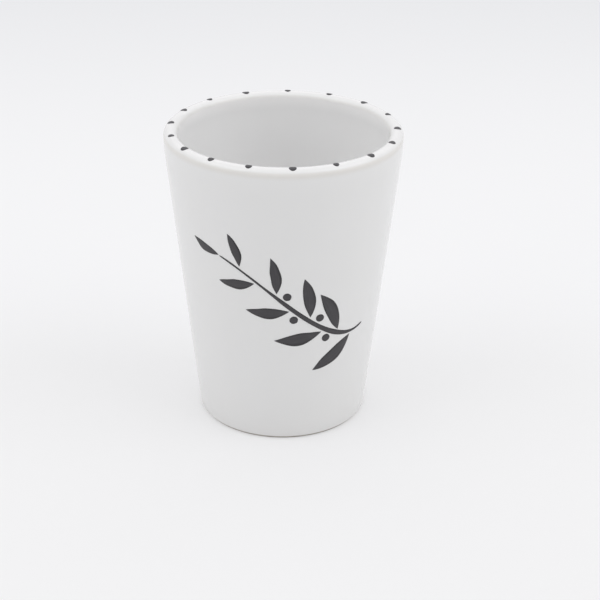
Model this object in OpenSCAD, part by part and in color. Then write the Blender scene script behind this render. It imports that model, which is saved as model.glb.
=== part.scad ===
// Tapered ceramic shot cup: a fired clay body under a coat of white glaze,
// with enamel dots along the lip and a brushed leaf sprig on the front wall.
// Millimetres. The cup stands on z = 0 about the Z axis, and its painted front faces -Y.

/* [Cup] */
// Height from the table to the top of the glazed lip
cup_height = 64.6; // [55:0.5:75]
// Widest diameter, across the glazed lip
rim_diameter = 50; // [46:0.5:58]
// Outside diameter of the glazed wall, carried down to the table
foot_diameter = 36.6; // [33:0.5:42]
// Thickness of the fired clay wall
wall_thickness = 2.3; // [1.6:0.1:3]
// Radius on which the upper wall bends upright under the lip
rim_bend = 40; // [15:5:60]
// Thickness of the fired clay floor
floor_thickness = 4.2; // [3:0.1:6]
// Radius of the glazed corner between the inside wall and the floor
inside_corner = 6; // [3:0.5:9]

/* [Foot] */
// Width of the bare ring that the cup stands on
foot_ring_width = 3; // [2:0.1:5]
// Depth of the hollow under the floor
foot_hollow = 1.2; // [0.8:0.1:2]
// Radius that rounds the bare lower edge of the clay
foot_edge = 0.35; // [0.2:0.05:0.8]

/* [Glaze] */
// Thickness of the white glaze
glaze_thickness = 0.3; // [0.2:0.02:0.4]
// Height of the bare clay between its rounded lower edge and the outside glaze
bare_band = 0.1; // [0.05:0.05:1]
// Bare margin round the glaze under the floor
base_glaze_margin = 0.6; // [0.3:0.1:1.5]

/* [Lip dots] */
// Number of dots round the lip
dot_count = 17; // [9:1:24]
// Diameter of one dot, seen from above
dot_diameter = 1.4; // [1.2:0.1:2]
// Distance of the dots' middles outside the crown of the lip
dot_offset = 0.15; // [0:0.05:0.3]
// Share by which the dots differ in size, as dabs of a brush do
dot_unevenness = 0.1; // [0:0.02:0.2]
// Angle of the first dot, counted from +X
dot_start = 1.6; // [-180:0.2:180]
// Furthest that the hand drifts off even spacing, in degrees
dot_drift = 3.6; // [0:0.2:5]
// Where round the lip the drift is greatest, counted from the first dot
dot_drift_peak = 140; // [0:5:360]

/* [Enamel] */
// Thickness of the enamel paint
paint_thickness = 0.1; // [0.06:0.02:0.16]
// Clearance between the enamel and the glaze under it
paint_clearance = 0.05; // [0.03:0.01:0.08]

/* [Sprig] */
// Height of the middle of the sprig
sprig_height = 34; // [30:0.5:38]
// Angle of the middle of the sprig, counted from the front
sprig_angle = 7; // [-180:1:180]
// Reach of the stem round the wall
sprig_reach = 33; // [28:0.5:38]
// Rise of the stem from its root to its tip
sprig_rise = 18; // [14:0.5:22]
// Width of the stem where the brush was pressed hardest
stem_width = 1.1; // [0.7:0.1:1.5]
// Number of leaves
leaf_count = 9; // [5:2:9]
// Length of the largest leaf
leaf_length = 11; // [8:0.5:12]
// Length of the smallest leaf
leaf_tip_length = 7; // [5:0.5:8]
// Rise of the largest leaf's outer edge above the line from its base to its point
leaf_belly = 2.2; // [1.4:0.1:2.4]
// Rise of the largest leaf's inner edge on the other side of that line
leaf_hollow = 0.9; // [0.5:0.1:1]
// Angle between a leaf and the stem
leaf_splay = 42; // [36:1:52]
// Bare gap between the stem and what grows on it
stroke_gap = 0.3; // [0.2:0.05:0.5]
// Number of berries
berry_count = 4; // [2:1:4]
// Diameter of a berry
berry_diameter = 1.8; // [1.2:0.1:2]

/* [Hidden] */
$fn = 180;
fired_clay = "#cfc6b8";
white_glaze = "#f2f1ef";
enamel = "#47454a";
// Room by which a cutting shape runs past what it cuts
past = 1;
// Added to a rounding's radius, so that its arc crosses the faces it blends and doesn't just touch them
arc_overlap = 0.001;

function node_names(name, count) = [for (i = [1:count]) str(name, "_", i)];

// The lip is a full round at the top of the wall.
lip_round = wall_thickness / 2 + glaze_thickness;
lip_centre = [rim_diameter / 2 - lip_round, cup_height - lip_round];
foot_radius = foot_diameter / 2;

// The wall's outside runs straight from the foot, and its upper end bends upright on a wide arc, up to the lip.
bend_centre = [rim_diameter / 2 - rim_bend, lip_centre.y];
bend_offset = [bend_centre.x - foot_radius, bend_centre.y];

// The straight wall's lean from the vertical
lean = atan2(bend_offset.x, bend_offset.y) + asin(rim_bend / norm(bend_offset));
outward = [cos(lean), -sin(lean)];

// Radius at height z of a line parallel to the straight glazed outside and the given depth under it
function wall_radius(z, depth = 0) = foot_radius + z * tan(lean) - depth / cos(lean);

// Where the wall starts to bend, at the given depth under the glazed face
function bend_start(depth) = bend_centre + (rim_bend - depth) * outward;

// Inside faces
inside_depth = wall_thickness + 2 * glaze_thickness;
floor_z = foot_hollow + floor_thickness + glaze_thickness;
corner_z = floor_z + inside_corner;
corner_centre = [wall_radius(corner_z, inside_depth) - inside_corner / cos(lean), corner_z];

// Foot
edge_centre = [wall_radius(foot_edge, glaze_thickness) - foot_edge / cos(lean), foot_edge];
ring_inside = edge_centre.x - foot_ring_width;
base_glaze_radius = ring_inside - foot_hollow - base_glaze_margin;
glaze_stop = foot_edge + bare_band;

// Section of the full round of the lip, grown by the given amount over its glazed face
module lip_section(growth) {
    translate(lip_centre)
        circle(lip_round + 2 * arc_overlap + growth);
}

// Half section of what the bent wall goes round at the given depth, up to the given height
module bend_section(depth, top) {
    low = bend_start(depth).y - past;
    intersection() {
        translate(bend_centre)
            circle(rim_bend - depth + arc_overlap);
        translate([0, low])
            square([rim_diameter, top - low]);
    }
}

// Half section of the cup's outside, at the given depth under the glazed face
module outside_section(depth) {
    start = bend_start(depth);
    polygon([
        [0, 0],
        [wall_radius(0, depth), 0],
        start,
        [0, start.y]
    ]);
    bend_section(depth, lip_centre.y);
    lip_section(-depth);
}

// Half section of the drinking space, wider by the given depth into the wall
module inside_section(depth) {
    radius = inside_corner + depth;
    wall_depth = inside_depth - depth;
    start = bend_start(wall_depth);
    polygon([
        [0, floor_z - depth],
        [corner_centre.x, floor_z - depth],
        corner_centre + radius * outward,
        start,
        [0, start.y]
    ]);
    bend_section(wall_depth, cup_height + past);
    translate(corner_centre)
        circle(radius + arc_overlap);
}

// Half section of the clay that is lost at the rounded lower edge
module foot_edge_section() {
    far = foot_radius + past;
    difference() {
        polygon([
            [edge_centre.x, -past],
            [far, -past],
            [far, edge_centre.y],
            edge_centre + foot_edge * outward,
            [edge_centre.x, 0]
        ]);
        translate(edge_centre)
            circle(foot_edge + arc_overlap);
    }
}

// Half section of the hollow under the floor, with sloping sides
module foot_hollow_section() {
    polygon([
        [0, -past],
        [ring_inside + past, -past],
        [ring_inside - foot_hollow, foot_hollow],
        [0, foot_hollow]
    ]);
}

module clay_section() {
    difference() {
        outside_section(glaze_thickness);
        inside_section(glaze_thickness);
        foot_edge_section();
        foot_hollow_section();
    }
}

// Half section of all below the slanting lower edge at which the outside glaze runs out
module bare_foot_section() {
    edge = [wall_radius(glaze_stop, glaze_thickness), glaze_stop];
    run = 2 * glaze_thickness;
    polygon([
        [0, -past],
        [edge.x + run, -past],
        edge + [run, run],
        edge,
        [0, glaze_stop]
    ]);
}

module glaze_section() {
    difference() {
        outside_section(0);
        inside_section(0);
        bare_foot_section();
        difference() {
            outside_section(glaze_thickness);
            inside_section(glaze_thickness);
        }
    }
}

module clay_body() {
    color(fired_clay)
        rotate_extrude()
            clay_section();
}

module glaze_coat() {
    color(white_glaze)
        rotate_extrude()
            glaze_section();
}

module base_glaze() {
    color(white_glaze)
        translate([0, 0, foot_hollow - glaze_thickness])
            cylinder(h = glaze_thickness, r = base_glaze_radius);
}

// One dot's angle round the lip: even spacing with the slow drift of a hand
function dot_angle(i) =
    let (turn = (i - 1) * 360 / dot_count, off = turn - dot_drift_peak)
    dot_start + turn + dot_drift * (cos(off) + cos(2 * off) / 3);

// One dot's size: a turn of this angle from dot to dot gives sizes in no order that shows
size_turn = 137.5;
function dot_size(i) = dot_diameter * (1 + dot_unevenness * sin(i * size_turn));

// Height of the enamel's face over the glaze
paint_top = paint_clearance + paint_thickness;

// A dab of enamel that drapes over the crown of the lip
module rim_dot(i) {
    color(enamel)
        rotate([0, 0, dot_angle(i)])
            intersection() {
                // The ring of paint closes across the cup from the dot.
                rotate([0, 0, 180])
                    rotate_extrude()
                        difference() {
                            lip_section(paint_top);
                            lip_section(paint_clearance);
                        }
                translate([lip_centre.x + dot_offset, 0, lip_centre.y])
                    cylinder(h = 2 * lip_round, d = dot_size(i));
            }
}

// The coat of paint that the brush strokes are parts of, over the wall up to the lip
module wall_paint() {
    rotate_extrude()
        intersection() {
            difference() {
                outside_section(-paint_top);
                outside_section(-paint_clearance);
            }
            translate([0, glaze_stop])
                square([rim_diameter, lip_centre.y - glaze_stop]);
        }
}

// Places on the wall are [way round to the right of the sprig's middle, height].
// Angle from the front at which such a place lies
function wall_angle(p) = p.x / wall_radius(p.y) * 180 / PI;

// Lays a flat shape on the wall at a place, turned from the level, and cuts it from the paint
module stroke_at(p, turn = 0) {
    intersection() {
        wall_paint();
        rotate([0, 0, sprig_angle + wall_angle(p)])
            translate([0, -wall_radius(p.y), p.y])
                rotate([90 + lean, 0, 0])
                    rotate([0, 0, turn])
                        linear_extrude(height = foot_radius, center = true)
                            children();
    }
}

// The stem's centre line is a cubic curve from its root, low on the right, to its tip.
stem_path = [
    [sprig_reach * 0.5, sprig_height - sprig_rise * 0.45],
    [sprig_reach * 0.2, sprig_height - sprig_rise * 0.72],
    [-sprig_reach * 0.1, sprig_height + sprig_rise * 0.28],
    [-sprig_reach * 0.5, sprig_height + sprig_rise * 0.55]
];

function stem_place(t) =
    pow(1 - t, 3) * stem_path[0] + 3 * t * pow(1 - t, 2) * stem_path[1]
    + 3 * t * t * (1 - t) * stem_path[2] + pow(t, 3) * stem_path[3];

function stem_slope(t) =
    3 * pow(1 - t, 2) * (stem_path[1] - stem_path[0]) + 6 * t * (1 - t) * (stem_path[2] - stem_path[1])
    + 3 * t * t * (stem_path[3] - stem_path[2]);

function heading(v) = atan2(v.y, v.x);

// Half the stem's width: fine at both ends, and fullest nearer the root where the brush was pressed
stem_end_share = 0.25;
stem_press = 1.6;
function stem_half(t) =
    stem_width / 2 * (stem_end_share + (1 - stem_end_share) * sin(180 * pow(1 - t, stem_press)));

// A point beside the stem, to its left when the distance is positive
function beside_stem(t, distance) =
    let (way = heading(stem_slope(t)))
    stem_place(t) + distance * [-sin(way), cos(way)];

// Where a place on the wall is seen from straight ahead of the sprig
function seen(p) = [wall_radius(p.y) * sin(wall_angle(p)), p.y];

stem_steps = 32;

module sprig_stem() {
    left = [for (i = [0:stem_steps]) let (t = i / stem_steps) seen(beside_stem(t, stem_half(t)))];
    right = [for (i = [stem_steps:-1:0]) let (t = i / stem_steps) seen(beside_stem(t, -stem_half(t)))];
    color(enamel)
        intersection() {
            wall_paint();
            rotate([0, 0, sprig_angle])
                rotate([90, 0, 0])
                    linear_extrude(height = rim_diameter)
                        polygon(concat(left, right));
        }
}

// Radius of an arc from its chord's length and its rise over the chord
function arc_radius(chord, rise) = (chord * chord / 4 + rise * rise) / (2 * rise);

// Outline of a leaf along +X: an arc on each side of the line from base to point
module leaf_outline(length) {
    belly = leaf_belly * length / leaf_length;
    hollow = leaf_hollow * length / leaf_length;
    belly_radius = arc_radius(length, belly);
    hollow_radius = arc_radius(length, hollow);
    intersection() {
        translate([0, belly - belly_radius])
            circle(belly_radius);
        translate([0, hollow_radius - hollow])
            circle(hollow_radius);
    }
}

// Leaves stand on the left and the right of the stem in turn, and the last one ends it.
first_leaf = 0.13;
leaf_pitch = (1 - first_leaf) / (leaf_count - 1);

function leaf_place(i) = first_leaf + (i - 1) * leaf_pitch;
function leaf_side(i) = i == leaf_count ? 0 : i % 2 == 1 ? 1 : -1;
function leaf_size(i) = leaf_length + (leaf_tip_length - leaf_length) * (i - 1) / (leaf_count - 1);

module sprig_leaf(i) {
    t = leaf_place(i);
    side = leaf_side(i);
    way = heading(stem_slope(t)) + side * leaf_splay;
    length = leaf_size(i);
    base = side == 0 ? stem_place(t) + stroke_gap * [cos(way), sin(way)]
        : beside_stem(t, side * (stem_half(t) + stroke_gap));
    color(enamel)
        stroke_at(base + length / 2 * [cos(way), sin(way)], way)
            mirror([0, side < 0 ? 1 : 0])
                leaf_outline(length);
}

// Berries sit opposite the middle leaves, each in the gap before the next leaf on its own side.
berry_lead = 0.55;
function berry_place(i) = leaf_place(i + 1) + berry_lead * leaf_pitch;
function berry_side(i) = -leaf_side(i + 1);

module sprig_berry(i) {
    t = berry_place(i);
    away = stem_half(t) + stroke_gap + berry_diameter / 2;
    color(enamel)
        stroke_at(beside_stem(t, berry_side(i) * away))
            circle(d = berry_diameter);
}

clay_body();
glaze_coat();
base_glaze();
for (i = [1:dot_count])
    rim_dot(i);
sprig_stem();
for (i = [1:leaf_count])
    sprig_leaf(i);
for (i = [1:berry_count])
    sprig_berry(i);
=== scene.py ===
"""Looks of a tapered ceramic shot cup: fired clay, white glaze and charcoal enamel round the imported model.

Lengths are metres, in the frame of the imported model: the cup stands on z = 0 about the Z axis, and its
painted front faces -Y. Each piece is grown by a Geometry Nodes tree and kept as a plain mesh at the origin.
"""

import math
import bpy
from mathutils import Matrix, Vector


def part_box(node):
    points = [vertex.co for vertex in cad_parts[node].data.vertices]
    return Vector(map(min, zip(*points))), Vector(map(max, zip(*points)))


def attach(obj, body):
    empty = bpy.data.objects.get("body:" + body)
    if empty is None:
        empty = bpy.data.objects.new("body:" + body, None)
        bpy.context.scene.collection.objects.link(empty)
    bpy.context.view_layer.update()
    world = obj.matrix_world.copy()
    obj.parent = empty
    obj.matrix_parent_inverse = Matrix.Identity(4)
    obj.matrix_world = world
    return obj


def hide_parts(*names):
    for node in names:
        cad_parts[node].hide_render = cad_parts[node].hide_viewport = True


bl_info = {
    "name": "Ceramic shot cup",
    "version": (1, 0, 0),
    "blender": (4, 5, 0),
    "location": "3D View > Sidebar > Shot cup",
    "description": "Turns, glazes and paints a ceramic shot cup and sets its stage",
    "category": "Add Mesh",
}

import bpy
from bpy.props import FloatProperty, FloatVectorProperty, IntProperty, PointerProperty
from mathutils import Matrix, Vector

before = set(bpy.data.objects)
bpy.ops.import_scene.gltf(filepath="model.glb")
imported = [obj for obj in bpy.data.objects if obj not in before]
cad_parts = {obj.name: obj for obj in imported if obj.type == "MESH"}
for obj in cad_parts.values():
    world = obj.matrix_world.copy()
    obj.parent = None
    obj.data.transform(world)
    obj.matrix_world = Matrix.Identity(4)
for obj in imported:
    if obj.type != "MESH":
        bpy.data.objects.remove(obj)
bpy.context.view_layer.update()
GLAZE_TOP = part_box("glaze_coat")[1]
MM = 0.001
FULL_TURN = 2 * math.pi


# Sizes and colours that a user would change

def length(name, description, default):
    """A length in metres from a default in millimetres."""
    return FloatProperty(
        name=name, description=description, default=default * MM,
        min=0.0, precision=5, unit="LENGTH", subtype="DISTANCE",
    )


def angle(name, description, default):
    """An angle from a default in degrees."""
    return FloatProperty(
        name=name, description=description, default=math.radians(default),
        unit="ROTATION", subtype="ANGLE",
    )


def share(name, description, default, highest=1.0):
    """A plain share."""
    return FloatProperty(
        name=name, description=description, default=default,
        min=0.0, max=highest, subtype="FACTOR",
    )


def power(name, description, default):
    """The power of a light."""
    return FloatProperty(name=name, description=description, default=default, min=0.0, unit="POWER")


def number(name, description, default):
    """A whole number of like things."""
    return IntProperty(name=name, description=description, default=default, min=1)


def colour(name, description, default):
    """A linear colour."""
    return FloatVectorProperty(
        name=name, description=description, default=default,
        size=3, min=0.0, max=1.0, subtype="COLOR",
    )


class CupSizes(bpy.types.PropertyGroup):
    """Sizes of the turned clay and of the glaze on it."""

    cup_height: length("Cup height", "From the table to the top of the glazed lip", GLAZE_TOP.z / MM)
    rim_diameter: length("Rim diameter", "Widest, across the glazed lip", 2 * GLAZE_TOP.x / MM)
    foot_diameter: length("Foot diameter", "Across the glazed wall, carried down to the table", 36.6)
    wall_thickness: length("Wall", "Thickness of the fired clay wall", 2.3)
    rim_bend: length("Rim bend", "Radius on which the upper wall bends upright under the lip", 40.0)
    floor_thickness: length("Floor", "Thickness of the fired clay floor", 4.2)
    inside_corner: length("Inside corner", "Radius between the inside wall and the floor", 6.0)
    foot_ring_width: length("Foot ring", "Width of the bare ring that the cup stands on", 3.0)
    foot_hollow: length("Foot hollow", "Depth of the hollow under the floor", 1.2)
    foot_edge: length("Foot edge", "Radius of the clay's bare lower edge", 0.35)
    foot_wear: length("Foot wear", "Rounding that use leaves on the ring's inner edge", 0.25)
    glaze_thickness: length("Glaze", "Thickness of the white glaze", 0.3)
    bare_band: length("Bare band", "Bare clay between its rounded edge and the outside glaze", 0.1)
    base_glaze_margin: length("Base glaze margin", "Bare margin round the glaze under the floor", 0.6)
    base_glaze_wander: share("Base glaze wander", "Share by which that glaze's edge wanders", 0.012)
    segments: number("Segments", "Faces round the cup", 256)


class EnamelSizes(bpy.types.PropertyGroup):
    """Sizes of the enamel coat and of the dots along the lip."""

    paint_thickness: length("Enamel", "Height of the enamel over the glaze", 0.11)
    paint_seat: length("Enamel seat", "Depth by which the enamel is fused into the glaze", 0.015)
    dot_count: number("Dots", "Dots round the lip", 17)
    dot_diameter: length("Dot diameter", "Diameter of one dot, seen from above", 1.4)
    dot_offset: length("Dot offset", "Distance of the dots' middles outside the crown of the lip", 0.15)
    dot_unevenness: share("Dot unevenness", "Share by which the dots differ in size", 0.1)
    dot_start: angle("First dot", "Angle of the first dot, counted from +X", 1.6)
    dot_drift: angle("Drift", "Furthest that the hand drifts off even spacing", 3.6)
    dot_drift_peak: angle("Drift peak", "Where the drift is greatest, from the first dot", 140.0)
    dot_tremble: share("Dot tremble", "Share by which a dot's outline is uneven", 0.13)


class SprigSizes(bpy.types.PropertyGroup):
    """Sizes of the brushed sprig on the front wall."""

    height: length("Height", "Height of the sprig's middle", 34.0)
    turn: angle("Turn", "Angle of the sprig's middle, counted from the front", 7.0)
    reach: length("Reach", "Reach of the stem round the wall", 33.0)
    rise: length("Rise", "Rise of the stem from its root to its tip", 18.0)
    stem_width: length("Stem width", "Width where the brush was pressed hardest", 1.1)
    leaf_count: number("Leaves", "Leaves on the stem", 9)
    leaf_length: length("Leaf length", "Length of the largest leaf", 11.0)
    leaf_tip_length: length("Tip leaf length", "Length of the smallest leaf", 7.0)
    leaf_belly: length("Leaf belly", "Rise of the largest leaf's outer edge", 2.2)
    leaf_hollow: length("Leaf hollow", "Rise of the largest leaf's inner edge", 0.9)
    leaf_splay: angle("Leaf splay", "Angle between a leaf and the stem", 42.0)
    stroke_gap: length("Stroke gap", "Bare gap between the stem and what grows on it", 0.3)
    stroke_tremble: length("Stroke tremble", "Unevenness of a stroke's edges", 0.35)
    berry_count: number("Berries", "Berries on the stem", 4)
    berry_diameter: length("Berry diameter", "Diameter of a berry", 1.8)
    berry_tremble: share("Berry tremble", "Share by which a berry's outline is uneven", 0.1)


class CupFinishes(bpy.types.PropertyGroup):
    """Colours of the ware and of the stage."""

    glaze: colour("White glaze", "Colour of the glaze where it is thick", (0.853, 0.852, 0.854))
    thin_glaze: colour("Thin glaze", "Colour where the glaze thins over the clay", (0.79, 0.765, 0.73))
    # Painted shade: a darker colour on the crown of the lip, which the light above lights most
    crown_painted_shade: colour("Crown glaze", "Colour of the glaze on the crown of the lip", (0.826, 0.82, 0.824))
    # Painted light: a paler glaze colour on the inside, just under the lip and low down
    painted_inside_light: colour("Pooled glaze", "Colour where the glaze gathers inside", (0.935, 0.93, 0.93))
    speck: colour("Iron speck", "Colour of the few specks in the glaze", (0.52, 0.48, 0.44))
    clay: colour("Fired clay", "Colour of the bare clay", (0.47, 0.43, 0.375))
    # Wear and painted shade: a darker clay colour where the clay meets the table
    clay_wear_and_shade: colour("Worn clay", "Colour of the clay where the foot ring is worn", (0.30, 0.275, 0.245))
    enamel: colour("Charcoal enamel", "Colour of the enamel", (0.041, 0.0385, 0.0435))
    thin_enamel: colour("Thin enamel", "Colour where a streak of it is thin", (0.078, 0.073, 0.08))
    pooled_enamel: colour("Pooled enamel", "Colour at the edges of a stroke", (0.014, 0.013, 0.015))
    floor: colour("Floor", "Colour of the pale floor", (0.88, 0.879, 0.888))
    # Painted light just behind the cup and painted shade far behind it, laid into the floor's colour
    back_floor_painted_light: colour("Back floor", "Colour of the pale floor just behind the cup", (0.896, 0.896, 0.91))
    far_floor_painted_shade: colour("Far floor", "Colour of the pale floor far behind the cup", (0.806, 0.81, 0.83))
    floor_bounce: colour("Floor bounce", "Colour that it throws back on the cup", (0.77, 0.77, 0.775))
    tent: colour("Tent", "Colour of the tent that the camera and the gloss see", (0.86, 0.86, 0.88))


class StageSettings(bpy.types.PropertyGroup):
    """Camera and light."""

    camera_distance: length("Camera distance", "From the camera to the point it is set up round", 324.25)
    camera_aim_height: length("Aim height", "Height of that point on the cup's axis", 29.82)
    camera_elevation: angle("Camera elevation", "Angle of the camera above the table", 25.508)
    camera_yaw: angle("Camera yaw", "Turn of the camera to the side, off that point", -0.666)
    camera_pitch: angle("Camera pitch", "Tilt of the camera off that point", -0.861)
    camera_roll: angle("Camera roll", "Roll of the camera", 0.328)
    field_of_view: angle("Field of view", "Angle across the frame", 22.841)
    tent_light: share("Tent light", "Strength of the even light from all round", 0.53, 2.0)
    roof_light: power("Roof light", "Power of the soft light above", 14.4)
    roof_size: length("Roof size", "Side of the soft light above", 3000.0)
    roof_height: length("Roof height", "Height of the soft light above", 1250.0)
    roof_setback: length("Roof setback", "How far the soft light above is set back behind the cup", 150.0)
    left_light: power("Left light", "Power of the soft light on the left", 2.85)
    right_light: power("Right light", "Power of the soft light on the right", 3.35)
    side_size: length("Side light size", "Side of the soft light on each side", 1000.0)
    side_distance: length("Side light distance", "From the cup to the soft light on each side", 1300.0)
    side_turn: angle("Side light turn", "Angle of the side lights from the front", 72.0)
    side_rise: angle("Side light rise", "Angle of the side lights above the table", 38.0)
    floor_glow: share("Floor glow", "Share of the floor that the camera sees as evenly lit", 0.46)
    floor_size: length("Floor size", "Side of the floor", 12000.0)


class ShotCupSettings(bpy.types.PropertyGroup):
    """All the settings of the cup and its stage."""

    cup: PointerProperty(type=CupSizes)
    enamel: PointerProperty(type=EnamelSizes)
    sprig: PointerProperty(type=SprigSizes)
    finish: PointerProperty(type=CupFinishes)
    stage: PointerProperty(type=StageSettings)


# Shapes that follow from the sizes

class CupShape:
    """Places that follow from the cup's sizes. A place is (distance from the axis, height)."""

    def __init__(self, cup):
        self.cup = cup
        glaze = cup.glaze_thickness
        self.lip_round = cup.wall_thickness / 2 + glaze
        self.lip_centre = Vector((cup.rim_diameter / 2 - self.lip_round, cup.cup_height - self.lip_round))
        self.foot_radius = cup.foot_diameter / 2
        self.inside_depth = cup.wall_thickness + 2 * glaze
        self.bend_centre = Vector((cup.rim_diameter / 2 - cup.rim_bend, self.lip_centre.y))
        offset = self.bend_centre - Vector((self.foot_radius, 0.0))
        self.lean = math.atan2(offset.x, offset.y) + math.asin(cup.rim_bend / offset.length)
        floor_z = cup.foot_hollow + cup.floor_thickness + glaze
        corner_z = floor_z + cup.inside_corner
        inside = self.wall_radius(corner_z, self.inside_depth)
        self.corner_centre = Vector((inside - cup.inside_corner / math.cos(self.lean), corner_z))
        edge_x = self.wall_radius(cup.foot_edge, glaze) - cup.foot_edge / math.cos(self.lean)
        self.edge_centre = Vector((edge_x, cup.foot_edge))
        self.ring_inside = edge_x - cup.foot_ring_width
        self.base_glaze_radius = self.ring_inside - cup.foot_hollow - cup.base_glaze_margin
        self.glaze_stop = cup.foot_edge + cup.bare_band

    def wall_radius(self, z, depth=0.0):
        """Radius at height z of a line along the wall's straight, the given depth under its glazed face."""
        return self.foot_radius + z * math.tan(self.lean) - depth / math.cos(self.lean)


def straight(start, end, steps):
    """Points from start up to, but without, end."""
    return [Vector(start).lerp(Vector(end), i / steps) for i in range(steps)]


def arc(centre, radius, first, last, steps):
    """Points of an arc, both ends included. Angles run from the outward level upwards."""
    angles = [first + (last - first) * i / steps for i in range(steps + 1)]
    return [centre + radius * Vector((math.cos(a), math.sin(a))) for a in angles]


def bend(start, middle, end, steps):
    """Points of a soft bend from start to end that heads for the middle, both ends included."""
    start, middle, end = Vector(start), Vector(middle), Vector(end)
    shares = [i / steps for i in range(steps + 1)]
    return [start.lerp(middle, t).lerp(middle.lerp(end, t), t) for t in shares]


WALL_STEPS = 24
FLOOR_STEPS = 10
BEND_STEPS = 10
LIP_STEPS = 28
CORNER_STEPS = 14
EDGE_STEPS = 6
DOWN = math.radians(-90.0)
HALF_TURN = math.radians(180.0)


def cup_skin(shape, depth, going_up):
    """Section at a depth under the glaze, from the top of the wall's straight to the middle of the floor.

    It leaves out the straight, because the foot differs from skin to skin, and runs back unless going up.
    """
    cup = shape.cup
    out = -shape.lean
    rise = arc(shape.bend_centre, cup.rim_bend - depth, out, 0.0, BEND_STEPS)
    lip = arc(shape.lip_centre, shape.lip_round - depth, 0.0, HALF_TURN, LIP_STEPS)
    fall = arc(shape.bend_centre, cup.rim_bend - shape.inside_depth + depth, 0.0, out, BEND_STEPS)
    corner = arc(shape.corner_centre, cup.inside_corner + depth, out, DOWN, CORNER_STEPS)
    inside_wall = straight(fall[-1], corner[0], WALL_STEPS)[1:]
    floor = straight(corner[-1], (0.0, corner[-1].y), FLOOR_STEPS)[1:]
    skin = rise[:-1] + lip + fall[1:] + inside_wall + corner + floor + [Vector((0.0, corner[-1].y))]
    return skin if going_up else skin[::-1]


def clay_section(shape):
    """Half section of the clay, from the middle of its underside to the middle of its floor."""
    cup = shape.cup
    roof_edge = Vector((shape.ring_inside - cup.foot_hollow, cup.foot_hollow))
    ring_edge = Vector((shape.ring_inside, 0.0))
    slope = (ring_edge - roof_edge).normalized()
    level = Vector((1.0, 0.0))
    wear = cup.foot_wear
    points = straight((0.0, cup.foot_hollow), roof_edge - wear * level, FLOOR_STEPS)
    points += bend(roof_edge - wear * level, roof_edge, roof_edge + wear * slope, EDGE_STEPS)
    points += bend(ring_edge - wear * slope, ring_edge, ring_edge + wear * level, EDGE_STEPS)
    edge = arc(shape.edge_centre, cup.foot_edge, DOWN, -shape.lean, EDGE_STEPS)
    skin = cup_skin(shape, cup.glaze_thickness, True)
    return points + edge + straight(edge[-1], skin[0], WALL_STEPS)[1:] + skin


def glaze_section(shape):
    """Half section of the glaze: along the clay, round the glaze's lower edge and back over its face."""
    glaze = shape.cup.glaze_thickness
    stop = shape.glaze_stop
    run = glaze / math.cos(shape.lean)
    under = cup_skin(shape, glaze, False)
    over = cup_skin(shape, 0.0, True)
    clay = (shape.wall_radius(stop, glaze), stop)
    face = (shape.wall_radius(stop + run), stop + run)
    edge = bend(clay, (shape.wall_radius(stop), stop), face, EDGE_STEPS)
    inner = under + straight(under[-1], clay, WALL_STEPS)[1:]
    return inner + edge + straight(face, over[0], WALL_STEPS)[1:] + over


def base_glaze_section(shape):
    """Half section of the glaze under the floor: a thin disc with a rounded edge."""
    glaze = shape.cup.glaze_thickness
    roof = shape.cup.foot_hollow
    centre = Vector((shape.base_glaze_radius - glaze, roof))
    edge = arc(centre, glaze, DOWN, 0.0, EDGE_STEPS)
    return (
        straight((0.0, roof - glaze), edge[0], FLOOR_STEPS)
        + edge
        + straight(edge[-1], (0.0, roof), FLOOR_STEPS)[1:]
        + [Vector((0.0, roof))]
    )


# The stem's root, its two handles and its tip, in shares of the sprig's reach and of its rise
STEM_PATH = ((0.5, -0.45), (0.2, -0.72), (-0.1, 0.28), (-0.5, 0.55))
STEM_END_SHARE = 0.25
STEM_PRESS = 1.6
FIRST_LEAF = 0.13
BERRY_LEAD = 0.55


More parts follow.
